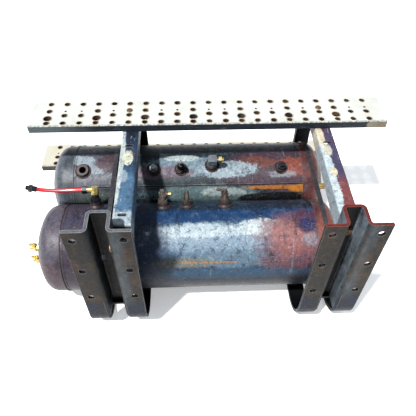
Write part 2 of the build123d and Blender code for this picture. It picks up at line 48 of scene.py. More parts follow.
# ------------------------------------------------------------------ shader helper
class Mat:
    """A small builder for procedural materials. Positions are the object's own, in metres."""

    def __init__(self, name):
        self.m = bpy.data.materials.new(name)
        self.m.use_nodes = True
        self.t = self.m.node_tree
        self.t.nodes.clear()
        self.out = self.t.nodes.new("ShaderNodeOutputMaterial")
        self.b = self.t.nodes.new("ShaderNodeBsdfPrincipled")
        self.t.links.new(self.b.outputs[0], self.out.inputs[0])
        tc = self.t.nodes.new("ShaderNodeTexCoord")
        sh = self.t.nodes.new("ShaderNodeVectorMath")
        sh.operation = "SUBTRACT"
        self.t.links.new(tc.outputs["Object"], sh.inputs[0])
        sh.inputs[1].default_value = BASE
        self.pos = sh.outputs[0]
        self.heights = []
        self._xyz = None

    def put(self, sock, v):
        if isinstance(v, bpy.types.NodeSocket):
            self.t.links.new(v, sock)
        elif isinstance(v, (tuple, list)) and len(v) == 3 and sock.type == "RGBA":
            sock.default_value = (*v, 1)
        else:
            sock.default_value = v

    def noise(self, scale, detail=5.0, rough=0.55, dist=0.0, vec=None, stretch=None, seed=0.0):
        n = self.t.nodes.new("ShaderNodeTexNoise")
        n.noise_dimensions = "4D"
        n.inputs["W"].default_value = seed
        v = vec or self.pos
        if stretch:
            mp = self.t.nodes.new("ShaderNodeMapping")
            mp.inputs["Scale"].default_value = stretch
            self.t.links.new(v, mp.inputs["Vector"])
            v = mp.outputs[0]
        self.t.links.new(v, n.inputs["Vector"])
        n.inputs["Scale"].default_value = scale
        n.inputs["Detail"].default_value = detail
        n.inputs["Roughness"].default_value = rough
        n.inputs["Distortion"].default_value = dist
        return n.outputs["Fac"]

    def voronoi(self, scale, feature="F1", vec=None):
        n = self.t.nodes.new("ShaderNodeTexVoronoi")
        n.feature = feature
        self.t.links.new(vec or self.pos, n.inputs["Vector"])
        n.inputs["Scale"].default_value = scale
        return n.outputs["Distance"]

    def mapr(self, v, a, b, c=0.0, d=1.0, smooth=False):
        n = self.t.nodes.new("ShaderNodeMapRange")
        n.clamp = True
        if smooth:
            n.interpolation_type = "SMOOTHSTEP"
        self.put(n.inputs[0], v)
        for i, q in enumerate((a, b, c, d)):
            self.put(n.inputs[i + 1], q)
        return n.outputs[0]

    def math(self, op, a, b=0.0, clamp=False):
        n = self.t.nodes.new("ShaderNodeMath")
        n.operation = op
        n.use_clamp = clamp
        self.put(n.inputs[0], a)
        self.put(n.inputs[1], b)
        return n.outputs[0]

    def vmath(self, op, a, b=None):
        n = self.t.nodes.new("ShaderNodeVectorMath")
        n.operation = op
        self.put(n.inputs[0], a)
        if b is not None:
            self.put(n.inputs[1], b)
        return n.outputs["Value"] if op in ("LENGTH", "DOT_PRODUCT") else n.outputs[0]

    def mix(self, f, a, b, blend="MIX"):
        n = self.t.nodes.new("ShaderNodeMix")
        n.data_type = "RGBA"
        n.blend_type = blend
        self.put(n.inputs[0], f)
        self.put(n.inputs[6], a)
        self.put(n.inputs[7], b)
        return n.outputs[2]

    def xyz(self):
        if self._xyz is None:
            n = self.t.nodes.new("ShaderNodeSeparateXYZ")
            self.t.links.new(self.pos, n.inputs[0])
            self._xyz = n.outputs
        return self._xyz

    def combine(self, x, y, z=0.0):
        n = self.t.nodes.new("ShaderNodeCombineXYZ")
        for i, v in enumerate((x, y, z)):
            self.put(n.inputs[i], v)
        return n.outputs[0]

    def edge(self, radius=0.0025, lo=0.03, hi=0.25):
        """1 along convex and concave edges of the real mesh, 0 on flats."""
        bv = self.t.nodes.new("ShaderNodeBevel")
        bv.samples = 4
        bv.inputs["Radius"].default_value = radius
        g = self.t.nodes.new("ShaderNodeNewGeometry")
        d = self.vmath("DOT_PRODUCT", bv.outputs[0], g.outputs["Normal"])
        return self.mapr(self.math("SUBTRACT", 1.0, d), lo, hi)

    def ao(self, dist=0.03):
        n = self.t.nodes.new("ShaderNodeAmbientOcclusion")
        n.samples = 4
        n.inputs["Distance"].default_value = dist
        return n.outputs["AO"]

    def crumb(self, seed=0.0):
        """Even-valued crumbly field, 0 to 1, for flaking paint."""
        a = self.noise(16, 7, 0.72, 0.3, seed=seed + 31)
        b = self.noise(75, 7, 0.78, 0.2, seed=seed + 32)
        c = self.noise(260, 4, 0.75, 0.0, seed=seed + 33)
        s = self.math("ADD", self.math("MULTIPLY", a, 0.42), self.math("MULTIPLY", b, 0.38))
        s = self.math("ADD", s, self.math("MULTIPLY", c, 0.20))
        return self.mapr(s, 0.36, 0.64)

    def blob(self, plane, c, w, crumb, soft=0.5, crisp=0.07):
        """A flaking patch: c centre and w half-widths on a two-value plane vector."""
        v = self.vmath("SUBTRACT", plane, (c[0], c[1], 0.0))
        v = self.vmath("MULTIPLY", v, (1.0 / w[0], 1.0 / w[1], 0.0))
        p = self.mapr(self.vmath("LENGTH", v), 1.0 + soft, 1.0 - soft, smooth=True)
        k = self.math("SUBTRACT", self.math("ADD", crumb, self.math("MULTIPLY", p, 1.25)), 1.12)
        return self.mapr(k, -crisp, crisp)

    def height(self, v, k):
        self.heights.append(self.math("MULTIPLY", v, k))

    def done(self, color, rough, metal=0.0, bump=0.6, dist=0.001, **extra):
        self.put(self.b.inputs["Base Color"], color)
        self.put(self.b.inputs["Roughness"], rough)
        self.put(self.b.inputs["Metallic"], metal)
        for k, v in extra.items():
            self.put(self.b.inputs[k.replace("_", " ")], v)
        h = None
        for x in self.heights:
            h = x if h is None else self.math("ADD", h, x)
        if h is not None:
            bp = self.t.nodes.new("ShaderNodeBump")
            bp.inputs["Strength"].default_value = bump
            bp.inputs["Distance"].default_value = dist
            self.t.links.new(h, bp.inputs["Height"])
            self.t.links.new(bp.outputs[0], self.b.inputs["Normal"])
        return self.m


def lin(r, g, b):
    f = lambda c: ((c / 255 + 0.055) / 1.055) ** 2.4 if c / 255 > 0.04045 else c / 255 / 12.92
    return (f(r) * 0.66, f(g) * 0.66, f(b) * 0.66)


# ------------------------------------------------------------------ materials
def patchy(m, plane, base, patches, fine, seed=0.0):
    """Base colour, then flaking patches of other paint layers over it."""
    col = base
    crumbs = [m.crumb(seed), m.crumb(seed + 7.7)]
    flake = m.mapr(m.noise(95, 8, 0.82, 0.4, seed=seed + 41), 0.53, 0.60)
    pit = m.mapr(m.noise(62, 8, 0.84, 0.6, seed=seed + 42), 0.54, 0.60)
    for i, (c, w, colour, soft, crisp, op) in enumerate(patches):
        k = m.blob(plane, c, w, crumbs[i % 2], soft, crisp)
        k = m.math("MULTIPLY", k, op)
        tint = m.mix(m.mapr(fine, 0.3, 0.7), tuple(x * 0.55 for x in colour), tuple(min(1.0, x * 1.28) for x in colour))
        tint = m.mix(m.math("MULTIPLY", flake, 0.65), tint, tuple(min(1.0, x * 1.55 + 0.03) for x in colour))
        k = m.math("MULTIPLY", k, m.math("SUBTRACT", 1.0, m.math("MULTIPLY", pit, 0.75)))
        col = m.mix(k, col, tint)
        m.height(k, 0.35)
    return col


def tank_mat(name, yc, base_a, base_b, patches, seed, marks=False, seam=None, top=None):
    m = Mat(name)
    x, y, z = m.xyz()
    ang = m.math("ARCTAN2", m.math("SUBTRACT", y, yc), m.math("SUBTRACT", z, 0.147))
    plane = m.combine(x, ang)
    fine = m.noise(150, 8, 0.78, 0.0, seed=seed)
    big = m.noise(12, 6, 0.68, 0.5, seed=seed + 5)
    base = m.mix(m.mapr(big, 0.38, 0.62), base_a, base_b)
    if top:
        t = m.math("MULTIPLY", m.mapr(ang, top[0] - 0.10, top[0]), m.mapr(ang, top[1] + 0.10, top[1]))
        base = m.mix(m.math("MULTIPLY", t, 0.85), base, top[2])
    # chalky bloom in the old paint
    bloom = m.noise(38, 8, 0.8, 0.3, seed=seed + 6)
    base = m.mix(m.math("MULTIPLY", m.mapr(bloom, 0.50, 0.64), 0.30), base, lin(128, 146, 162))
    col = patchy(m, plane, base, patches, fine, seed)
    # runs and scratches
    run = m.noise(34, 6, 0.75, stretch=(1.8, 0.22, 0.22), seed=seed + 9)
    col = m.mix(m.math("MULTIPLY", m.mapr(run, 0.60, 0.68), 0.40), col, lin(170, 182, 190))
    run2 = m.noise(26, 6, 0.75, stretch=(1.5, 0.30, 0.30), seed=seed + 10)
    col = m.mix(m.math("MULTIPLY", m.mapr(run2, 0.55, 0.66), 0.55), col, lin(18, 26, 40))
    scr = m.noise(60, 3, 0.6, 1.5, stretch=(0.5, 3.0, 3.0), seed=seed + 11)
    col = m.mix(m.math("MULTIPLY", m.mapr(scr, 0.67, 0.69), 0.35), col, lin(196, 202, 204))
    dark = m.crumb(seed + 13)
    col = m.mix(m.math("MULTIPLY", m.mapr(dark, 0.66, 0.80), 0.72), col, lin(20, 24, 34))
    speck = m.noise(210, 6, 0.8, 0.2, seed=seed + 15)
    col = m.mix(m.math("MULTIPLY", m.mapr(speck, 0.605, 0.66), 0.75), col, lin(214, 222, 222))
    rust = m.mapr(m.noise(48, 8, 0.8, 0.3, seed=seed + 17), 0.60, 0.68)
    col = m.mix(m.math("MULTIPLY", rust, 0.7), col, lin(104, 58, 42))
    sand = m.mapr(m.noise(120, 5, 0.8, 0.4, seed=seed + 18), 0.64, 0.70)
    col = m.mix(m.math("MULTIPLY", sand, 0.7), col, lin(196, 176, 130))
    if seam is not None:
        w = m.math("ABSOLUTE", m.math("SUBTRACT", ang, seam))
        col = m.mix(m.math("MULTIPLY", m.mapr(w, 0.016, 0.008), 0.9), col, lin(26, 24, 28))
        # painted highlight: a pale line along one side of the dark seam
        hi = m.math("MULTIPLY", m.mapr(m.math("ABSOLUTE", m.math("SUBTRACT", ang, seam + 0.026)), 0.010, 0.004), m.mapr(fine, 0.35, 0.6))
        col = m.mix(m.math("MULTIPLY", hi, 0.5), col, lin(150, 150, 150))
        m.height(m.mapr(w, 0.02, 0.008), -1.2)
    # painted shade: the tank underside, turned away from the light, darkens to deep navy
    painted_shade = m.mapr(m.math("ADD", ang, m.math("MULTIPLY", m.math("SUBTRACT", big, 0.5), 0.5)), -1.35, -1.75)
    col = m.mix(m.math("MULTIPLY", m.math("MULTIPLY", painted_shade, m.mapr(x, -0.40, -0.34)), 0.8), col, lin(14, 22, 36))
    if marks:
        # plain worn dashes
        for x0, x1, a0, a1 in MARKS:
            mx = m.math("MULTIPLY", m.mapr(x, x0, x0 + 0.002), m.mapr(x, x1, x1 - 0.002))
            ma = m.math("MULTIPLY", m.mapr(ang, a0, a0 + 0.015), m.mapr(ang, a1, a1 - 0.015))
            k = m.math("MULTIPLY", m.math("MULTIPLY", mx, ma), m.mapr(m.noise(150, 5, 0.75, seed=3.3), 0.40, 0.52))
            col = m.mix(m.math("MULTIPLY", k, 0.8), col, lin(206, 142, 70))
    e = m.math("MULTIPLY", m.edge(0.003), m.mapr(fine, 0.35, 0.6))
    col = m.mix(m.math("MULTIPLY", e, 0.6), col, lin(150, 140, 138))
    # darker where AO finds crevices: grime, plus painted shade in the valley between the tanks and under the arms
    grime_and_shade = m.mapr(m.ao(0.03), 0.75, 0.2)
    col = m.mix(m.math("MULTIPLY", grime_and_shade, 0.7), col, lin(24, 20, 22))
    m.height(fine, 0.7)
    m.height(big, 0.4)
    m.height(speck, 0.3)
    rough = m.mapr(fine, 0.3, 0.7, 0.30, 0.62)
    return m.done(col, rough, 0.0, 0.65, 0.0016, Specular_IOR_Level=0.38)


MARKS = ((-0.109, -0.103, -1.090, -1.000), (-0.099, -0.068, -1.075, -1.025), (-0.064, -0.038, -1.08, -1.03), (-0.034, -0.012, -1.075, -1.03), (-0.008, 0.038, -1.08, -1.035), (0.095, 0.126, -1.075, -1.050), (0.132, 0.171, -1.073, -1.050))
NAVY, DEEP = lin(22, 50, 78), lin(14, 28, 44)
STEEL, PALE = lin(136, 156, 172), lin(196, 212, 220)
DUSTRED, PURPLE = lin(166, 98, 88), lin(96, 60, 84)
OCHRE, BLACK = lin(188, 120, 40), lin(20, 20, 24)

front_patches = [
    ((-0.43, -0.55), (0.11, 1.6), lin(78, 64, 78), 0.5, 0.30, 0.85),
    ((0.00, -0.80), (0.30, 0.48), lin(84, 110, 138), 0.9, 0.30, 0.75),
    ((0.01, -0.52), (0.21, 0.34), lin(142, 164, 182), 1.0, 0.18, 0.85),
    ((-0.07, -0.34), (0.12, 0.17), lin(190, 206, 214), 1.2, 0.12, 0.8),
    ((0.11, -0.30), (0.065, 0.20), lin(206, 220, 224), 1.0, 0.10, 0.9),
    ((0.03, -0.98), (0.17, 0.20), lin(118, 142, 160), 1.1, 0.14, 0.75),
    ((-0.10, -1.05), (0.09, 0.12), lin(140, 136, 116), 1.1, 0.14, 0.6),
    ((0.20, -0.70), (0.11, 0.75), lin(132, 92, 100), 0.9, 0.20, 0.80),
    ((0.19, -0.50), (0.060, 0.42), lin(156, 104, 102), 1.2, 0.12, 0.82),
    ((0.245, -0.14), (0.050, 0.28), lin(86, 54, 78), 0.9, 0.12, 0.85),
    ((0.225, -0.26), (0.022, 0.18), lin(28, 44, 96), 1.0, 0.10, 0.85),
    ((0.235, -0.62), (0.024, 0.16), lin(150, 156, 170), 1.3, 0.12, 0.6),
    ((0.06, -1.38), (0.26, 0.14), lin(60, 100, 130), 0.9, 0.20, 0.7),
    # painted shadow: deep navy band where the left arm's shadow falls on the front tank
    ((-0.25, -0.6), (0.10, 1.1), lin(18, 38, 70), 0.5, 0.30, 0.8),
]
rear_patches = [
    ((0.20, -0.45), (0.20, 0.60), lin(84, 62, 76), 0.7, 0.20, 0.85),
    ((0.12, -0.26), (0.050, 0.16), lin(124, 74, 62), 1.2, 0.12, 0.8),
    ((0.225, -0.40), (0.050, 0.26), lin(150, 82, 66), 0.9, 0.12, 0.85),
    ((0.195, -0.60), (0.040, 0.08), lin(146, 152, 160), 1.3, 0.10, 0.75),
    ((-0.44, -0.40), (0.15, 0.65), lin(104, 106, 120), 0.8, 0.18, 0.8),
    ((-0.40, -0.14), (0.045, 0.14), lin(168, 184, 194), 0.9, 0.08, 0.85),
    ((-0.35, -0.36), (0.040, 0.18), lin(156, 170, 182), 0.9, 0.08, 0.8),
    ((-0.31, -0.20), (0.05, 0.26), lin(82, 56, 64), 1.0, 0.12, 0.85),
    ((-0.09, -0.34), (0.12, 0.26), lin(128, 150, 164), 0.8, 0.10, 0.92),
    ((0.03, -0.46), (0.085, 0.22), lin(156, 174, 186), 0.8, 0.08, 0.90),
    ((-0.10, -0.12), (0.055, 0.10), lin(190, 204, 206), 0.9, 0.08, 0.9),
    ((-0.17, -0.50), (0.09, 0.16), lin(112, 88, 104), 1.0, 0.12, 0.8),
    ((-0.04, -1.06), (0.17, 0.22), lin(104, 126, 130), 0.8, 0.12, 0.9),
    ((0.02, -1.02), (0.07, 0.12), lin(166, 178, 178), 1.0, 0.08, 0.8),
    ((-0.42, -1.05), (0.12, 0.20), lin(92, 100, 98), 0.8, 0.12, 0.8),
    ((0.19, -0.925), (0.12, 0.050), OCHRE, 0.55, 0.20, 0.92),
    ((0.255, -0.97), (0.040, 0.11), lin(196, 130, 40), 0.7, 0.18, 0.9),
    ((0.18, -1.20), (0.12, 0.15), BLACK, 0.35, 0.15, 0.97),
]
mat_front = tank_mat("front_tank_paint", 0.187, NAVY, DEEP, front_patches, 0.0, marks=True, top=(-0.14, 0.16, lin(22, 66, 110)))
mat_rear = tank_mat("rear_tank_paint", 0.432, lin(36, 56, 66), lin(22, 32, 42), rear_patches, 20.0, seam=-0.855, top=(-0.02, 0.5, lin(26, 40, 48)))
mat_lhead = tank_mat("left_head_paint", 0.187, lin(66, 54, 62), lin(40, 33, 40), [((-0.45, -0.3), (0.03, 1.0), lin(112, 106, 122), 0.7, 0.3, 0.6), ((-0.47, -1.4), (0.06, 0.4), lin(110, 90, 96), 0.8, 0.3, 0.7)], 40.0)
mat_rhead = tank_mat("right_head_paint", 0.187, lin(116, 70, 64), lin(80, 46, 52), [((0.28, -0.4), (0.03, 0.6), lin(150, 88, 76), 0.9, 0.2, 0.8), ((0.29, -1.4), (0.05, 0.5), lin(60, 44, 58), 0.9, 0.2, 0.8)], 60.0)


mat_rlhead = tank_mat("rear_left_head_paint", 0.432, lin(92, 98, 108), lin(48, 58, 66), [], 50.0)


def bracket_mat(name, body, warm, low, edge_col, seed, low_z=0.155, edge_k=0.85, edge_r=0.0035, sheen=0.4, cx=None, spot=None, side_col=None):
    """Worn dark bracket paint: rail stains above, darker paint below, edges rubbed or painted."""
    m = Mat(name)
    x, y, z = m.xyz()
    fine = m.noise(120, 8, 0.75, seed=seed)
    big = m.noise(24, 6, 0.65, 0.5, seed=seed + 1)
    col = m.mix(m.mapr(big, 0.35, 0.65), body, warm)
    rust = m.mapr(m.noise(30, 7, 0.7, 0.8, seed=seed + 2), 0.56, 0.68)
    col = m.mix(m.math("MULTIPLY", rust, 0.7), col, lin(122, 76, 52))
    chalk = m.mapr(m.noise(44, 8, 0.82, 0.4, seed=seed + 3), 0.54, 0.64)
    col = m.mix(m.math("MULTIPLY", chalk, 0.35), col, lin(132, 126, 118))
    below = m.mapr(m.math("ADD", z, m.math("MULTIPLY", m.math("SUBTRACT", big, 0.5), 0.03)), low_z + 0.004, low_z - 0.004)
    col = m.mix(below, col, low)
    # the risers, web and hat cavity behind the flange face are painted near-black as painted shade; the -X facing
    # risers get a painted sunlit blue-grey further down
    cavity_shade = m.mapr(y, 0.0085, 0.012)
    col = m.mix(m.math("MULTIPLY", cavity_shade, 0.85), col, m.mix(m.mapr(big, 0.4, 0.6), lin(15, 18, 26), lin(6, 7, 10)))
    gn = m.t.nodes.new("ShaderNodeNewGeometry")
    sn = m.t.nodes.new("ShaderNodeSeparateXYZ")
    m.t.links.new(gn.outputs["True Normal"], sn.inputs[0])
    # painted light: mask of the -X facing risers in the cavity region, for the sunlit blue-grey laid on below
    painted_lit_side = m.math("MULTIPLY", m.mapr(sn.outputs[0], -0.25, -0.75), cavity_shade)
    painted_lit_side = m.math("MULTIPLY", painted_lit_side, m.mapr(m.noise(14, 7, 0.75, 0.5, stretch=(1, 1, 0.5), seed=seed + 7), 0.36, 0.60))
    blot = m.mapr(m.noise(20, 8, 0.78, 0.6, seed=seed + 9), 0.46, 0.60)
    col = m.mix(m.math("MULTIPLY", blot, 0.85), col, lin(12, 11, 11))
    spk = m.mapr(m.noise(190, 6, 0.8, 0.2, seed=seed + 10), 0.61, 0.67)
    col = m.mix(m.math("MULTIPLY", spk, 0.5), col, lin(150, 140, 126))
    if cx is not None:
        off = m.math("SUBTRACT", x, cx)
        # painted sheen: light blue-grey on the flange face beside the bend, on the +x side
        near_bend_sheen = m.math("MULTIPLY", m.mapr(off, 0.060, 0.034, smooth=True), m.mapr(off, 0.020, 0.030))
        near_bend_sheen = m.math("MULTIPLY", m.math("MULTIPLY", near_bend_sheen, m.mapr(y, 0.020, 0.008)), m.mapr(z, 0.13, 0.19))
        near_bend_sheen = m.math("MULTIPLY", near_bend_sheen, m.mapr(m.noise(26, 7, 0.75, stretch=(1, 1, 0.35), seed=seed + 12), 0.34, 0.56))
        col = m.mix(m.math("MULTIPLY", near_bend_sheen, 0.60), col, lin(128, 142, 152))
        # painted shade: the flange beside the bend on the -x side goes near-black
        far_bend_shade = m.math("MULTIPLY", m.mapr(off, -0.062, -0.036, smooth=True), m.mapr(off, 0.0, -0.02))
        col = m.mix(m.math("MULTIPLY", far_bend_shade, 0.8), col, lin(12, 12, 13))
        warm2 = m.math("MULTIPLY", m.mapr(m.noise(13, 7, 0.75, 0.6, seed=seed + 14), 0.50, 0.62), m.mapr(y, 0.010, 0.006))
        col = m.mix(m.math("MULTIPLY", m.math("MULTIPLY", warm2, m.mapr(z, 0.160, 0.175)), 0.5), col, lin(104, 84, 66))
    if spot is not None:
        v = m.math("MULTIPLY", m.mapr(m.math("ABSOLUTE", m.math("SUBTRACT", x, spot[0])), 0.0075, 0.0060), m.mapr(m.math("ABSOLUTE", m.math("SUBTRACT", z, spot[1])), 0.0110, 0.0090))
        col = m.mix(m.math("MULTIPLY", m.math("MULTIPLY", v, m.mapr(y, 0.045, 0.050)), m.mapr(fine, 0.25, 0.45)), col, lin(210, 230, 240))
    # painted sheen: lighter blue-grey along the bend between flange and riser
    bend_sheen = m.math("MULTIPLY", m.mapr(y, 0.004, 0.009), m.mapr(y, 0.030, 0.014))
    bend_sheen = m.math("MULTIPLY", bend_sheen, m.mapr(m.noise(60, 6, 0.75, seed=seed + 8), 0.38, 0.56))
    col = m.mix(m.math("MULTIPLY", bend_sheen, sheen), col, lin(124, 138, 148))
    e = m.math("MULTIPLY", m.edge(edge_r, 0.02, 0.18), m.mapr(fine, 0.25, 0.5))
    ecol = edge_col if side_col is None else m.mix(m.mapr(z, 0.440, 0.447), side_col, edge_col)
    col = m.mix(m.math("MULTIPLY", e, edge_k), col, ecol)
    # sawn top faces
    top = m.mapr(z, 0.4492, 0.4497)
    col = m.mix(m.math("MULTIPLY", top, 0.9), col, m.mix(m.mapr(fine, 0.35, 0.65), tuple(c * 0.42 for c in edge_col), tuple(c * 0.16 for c in edge_col)))
    rim = m.math("MULTIPLY", m.math("MULTIPLY", top, m.edge(0.0018, 0.01, 0.12)), m.mapr(fine, 0.25, 0.45))
    col = m.mix(rim, col, edge_col)
    # painted shade: AO darkens the hat cavity and crevices to near-black, with some grime
    grime_and_shade = m.mapr(m.ao(0.09), 0.80, 0.30)
    col = m.mix(m.math("MULTIPLY", grime_and_shade, 0.85), col, lin(8, 8, 12))
    # painted light: sunlit blue-grey on the -X facing risers, scaled by the sheen setting
    painted_lit_side = m.math("MULTIPLY", painted_lit_side, m.mapr(z, 0.06, 0.16))
    col = m.mix(m.math("MULTIPLY", painted_lit_side, sheen), col, m.mix(m.mapr(fine, 0.35, 0.65), lin(104, 118, 134), lin(190, 202, 212)))
    m.height(fine, 0.6)
    m.height(big, 0.5)
    m.height(chalk, 0.2)
    return m.done(col, m.mapr(fine, 0.3, 0.7, 0.40, 0.70), 0.0, 0.6, 0.0014, Specular_IOR_Level=0.28)


mat_lhang = bracket_mat("left_hanger_paint", lin(24, 21, 20), lin(54, 45, 38), lin(12, 30, 56), lin(186, 190, 196), 80.0, edge_r=0.0024, sheen=0.7, cx=-0.281, spot=(-0.298, 0.282))
mat_rhang = bracket_mat("right_hanger_paint", lin(26, 24, 21), lin(58, 52, 43), lin(12, 30, 60), lin(190, 96, 88), 90.0, edge_k=0.8, edge_r=0.0022, sheen=0.95, cx=0.281, side_col=lin(196, 202, 206))
mat_dark = bracket_mat("dark_bracket_paint", lin(28, 30, 36), lin(44, 44, 48), lin(26, 32, 42), lin(120, 116, 112), 100.0, edge_k=0.5)


def arm_mat(name, body, body2, peel, side, patches, seed, yflip=1.0):
    m = Mat(name)
    x, y, z = m.xyz()
    plane = m.combine(x, y)
    fine = m.noise(120, 8, 0.75, seed=seed)
    big = m.noise(26, 6, 0.65, 0.5, seed=seed + 1)
    col = m.mix(m.mapr(big, 0.35, 0.65), body, body2)
    col = patchy(m, plane, col, patches, fine, seed)
    rust = m.mapr(m.noise(60, 6, 0.7, 0.6, seed=seed + 4), 0.60, 0.70)
    col = m.mix(m.math("MULTIPLY", rust, 0.6), col, lin(140, 92, 72))
    scr = m.noise(50, 3, 0.6, 1.2, stretch=(3.0, 0.5, 3.0), seed=seed + 5)
    col = m.mix(m.math("MULTIPLY", m.mapr(scr, 0.62, 0.66), 0.5), col, peel)
    e = m.math("MULTIPLY", m.edge(0.003, 0.02, 0.2), m.mapr(fine, 0.3, 0.55))
    col = m.mix(m.math("MULTIPLY", e, 0.7), col, side)
    # darker in crevices found by AO: grime, plus painted shade
    grime_and_shade = m.mapr(m.ao(0.04), 0.7, 0.15)
    col = m.mix(m.math("MULTIPLY", grime_and_shade, 0.6), col, lin(20, 22, 28))
    m.height(fine, 0.5)
    m.height(big, 0.3)
    return m.done(col, m.mapr(fine, 0.3, 0.7, 0.36, 0.62), 0.0, 0.55, 0.0012)


mat_larm = arm_mat("left_arm_paint", lin(40, 74, 108), lin(24, 40, 62), lin(176, 190, 200), lin(170, 180, 184), [
    ((-0.24, 0.14), (0.040, 0.10), lin(86, 122, 152), 0.7, 0.30, 0.8),
    ((-0.262, 0.30), (0.012, 0.24), lin(196, 206, 206), 0.9, 0.08, 0.9),
    ((-0.24, 0.285), (0.014, 0.026), lin(206, 210, 190), 0.8, 0.08, 0.95),
    ((-0.246, 0.22), (0.010, 0.020), lin(160, 178, 190), 0.9, 0.10, 0.7),
    ((-0.24, 0.075), (0.040, 0.030), lin(176, 190, 198), 0.8, 0.20, 0.85),
    ((-0.238, 0.42), (0.016, 0.080), lin(20, 30, 44), 0.8, 0.20, 0.85)], 110.0)
mat_rarm = arm_mat("right_arm_paint", lin(118, 70, 80), lin(84, 48, 64), lin(220, 214, 206), lin(186, 160, 154), [
    ((0.300, 0.28), (0.018, 0.10), lin(66, 74, 108), 0.9, 0.12, 0.8),
    ((0.296, 0.14), (0.020, 0.06), lin(136, 78, 76), 0.9, 0.12, 0.8),
    ((0.268, 0.21), (0.018, 0.17), lin(196, 212, 220), 0.7, 0.07, 0.97),
    ((0.285, 0.30), (0.012, 0.022), lin(206, 206, 190), 0.9, 0.08, 0.92),
    ((0.276, 0.36), (0.010, 0.05), lin(216, 208, 186), 0.9, 0.08, 0.92),
    ((0.284, 0.22), (0.008, 0.014), lin(216, 206, 176), 0.9, 0.08, 0.9)], 120.0)


def tread_mat(name, y0, z_top, lip, cream, dirt, seed, tip=None):
    m = Mat(name)
    x, y, z = m.xyz()
    fine = m.noise(150, 8, 0.75, seed=seed)
    big = m.noise(11, 6, 0.7, 0.4, seed=seed + 1)
    col = m.mix(m.mapr(fine, 0.3, 0.7), tuple(c * 0.93 for c in cream), cream)
    col = m.mix(m.math("MULTIPLY", m.mapr(big, 0.48, 0.72), 0.55), col, dirt)
    scuff = m.noise(46, 6, 0.75, 0.8, stretch=(0.7, 1.6, 1.0), seed=seed + 2)
    col = m.mix(m.math("MULTIPLY", m.mapr(scuff, 0.60, 0.70), 0.4), col, lin(178, 172, 156))
    wear = m.mapr(m.noise(90, 5, 0.8, seed=seed + 6), 0.66, 0.72)
    col = m.mix(m.math("MULTIPLY", wear, 0.5), col, lin(140, 118, 92))
    chips = m.math("MULTIPLY", m.mapr(y, y0 + 0.009, y0 + 0.001), m.mapr(m.noise(120, 6, 0.8, 0.4, seed=seed + 12), 0.44, 0.54))
    col = m.mix(m.math("MULTIPLY", chips, 0.85), col, lin(64, 62, 62))
    smear = m.mapr(m.noise(9, 7, 0.75, 0.8, stretch=(1.0, 2.2, 1.0), seed=seed + 13), 0.56, 0.66)
    col = m.mix(m.math("MULTIPLY", smear, 0.25), col, lin(150, 172, 190))
    # dirt and painted shade in the bores and along pressed rims: faces below the top turn brown-grey
    below = m.mapr(z, z_top - 0.0004, z_top - 0.0016)
    bore = m.mix(m.mapr(fine, 0.35, 0.65), lin(120, 100, 76), lin(66, 60, 56))
    col = m.mix(below, col, bore)
    # front and rear lips
    front = m.mapr(y, y0 + 0.0026, y0 + 0.0012)
    rear = m.mapr(y, y0 + 0.1104, y0 + 0.1118)
    lipk = m.math("MULTIPLY", m.math("MAXIMUM", front, rear), m.mapr(m.math("ADD", z, m.math("MULTIPLY", fine, 0.0012)), z_top - 0.0006, z_top - 0.0016))
    lcol = m.mix(m.mapr(m.noise(18, 6, 0.7, 0.4, stretch=(0.6, 1, 2), seed=seed + 3), 0.35, 0.65), lip, tuple(c * 0.5 for c in lip))
    sc = m.noise(70, 5, 0.7, 1.0, stretch=(0.4, 1, 2.5), seed=seed + 4)
    lcol = m.mix(m.math("MULTIPLY", m.mapr(sc, 0.58, 0.68), 0.6), lcol, lin(150, 164, 170))
    if tip:
        t = m.mapr(m.math("ADD", x, m.math("MULTIPLY", m.noise(60, 5, 0.7, seed=seed + 8), 0.03)), tip + 0.015, tip + 0.019)
        lcol = m.mix(t, lcol, m.mix(m.mapr(big, 0.4, 0.6), lin(150, 132, 108), lin(182, 176, 160)))
        l2 = m.mapr(x, -0.33, -0.44)
        lcol = m.mix(m.math("MULTIPLY", l2, 0.6), lcol, lin(138, 152, 156))
    col = m.mix(lipk, col, lcol)
    # painted shade: AO darkening round the holes, rims and lips
    painted_shade = m.mapr(m.ao(0.02), 0.65, 0.2)
    col = m.mix(m.math("MULTIPLY", painted_shade, 0.5), col, lin(60, 54, 48))
    m.height(fine, 0.5)
    m.height(wear, -0.3)
    m.height(big, 0.5)
    return m.done(col, m.mapr(fine, 0.3, 0.7, 0.5, 0.75), 0.0, 0.5, 0.001)


mat_up = tread_mat("upper_tread_paint", 0.390, 0.416, lin(40, 52, 66), lin(216, 221, 218), lin(186, 182, 160), 130.0, tip=0.41)
mat_lo = tread_mat("lower_tread_paint", 0.583, 0.086, lin(96, 98, 92), lin(210, 208, 194), lin(182, 168, 134), 140.0)


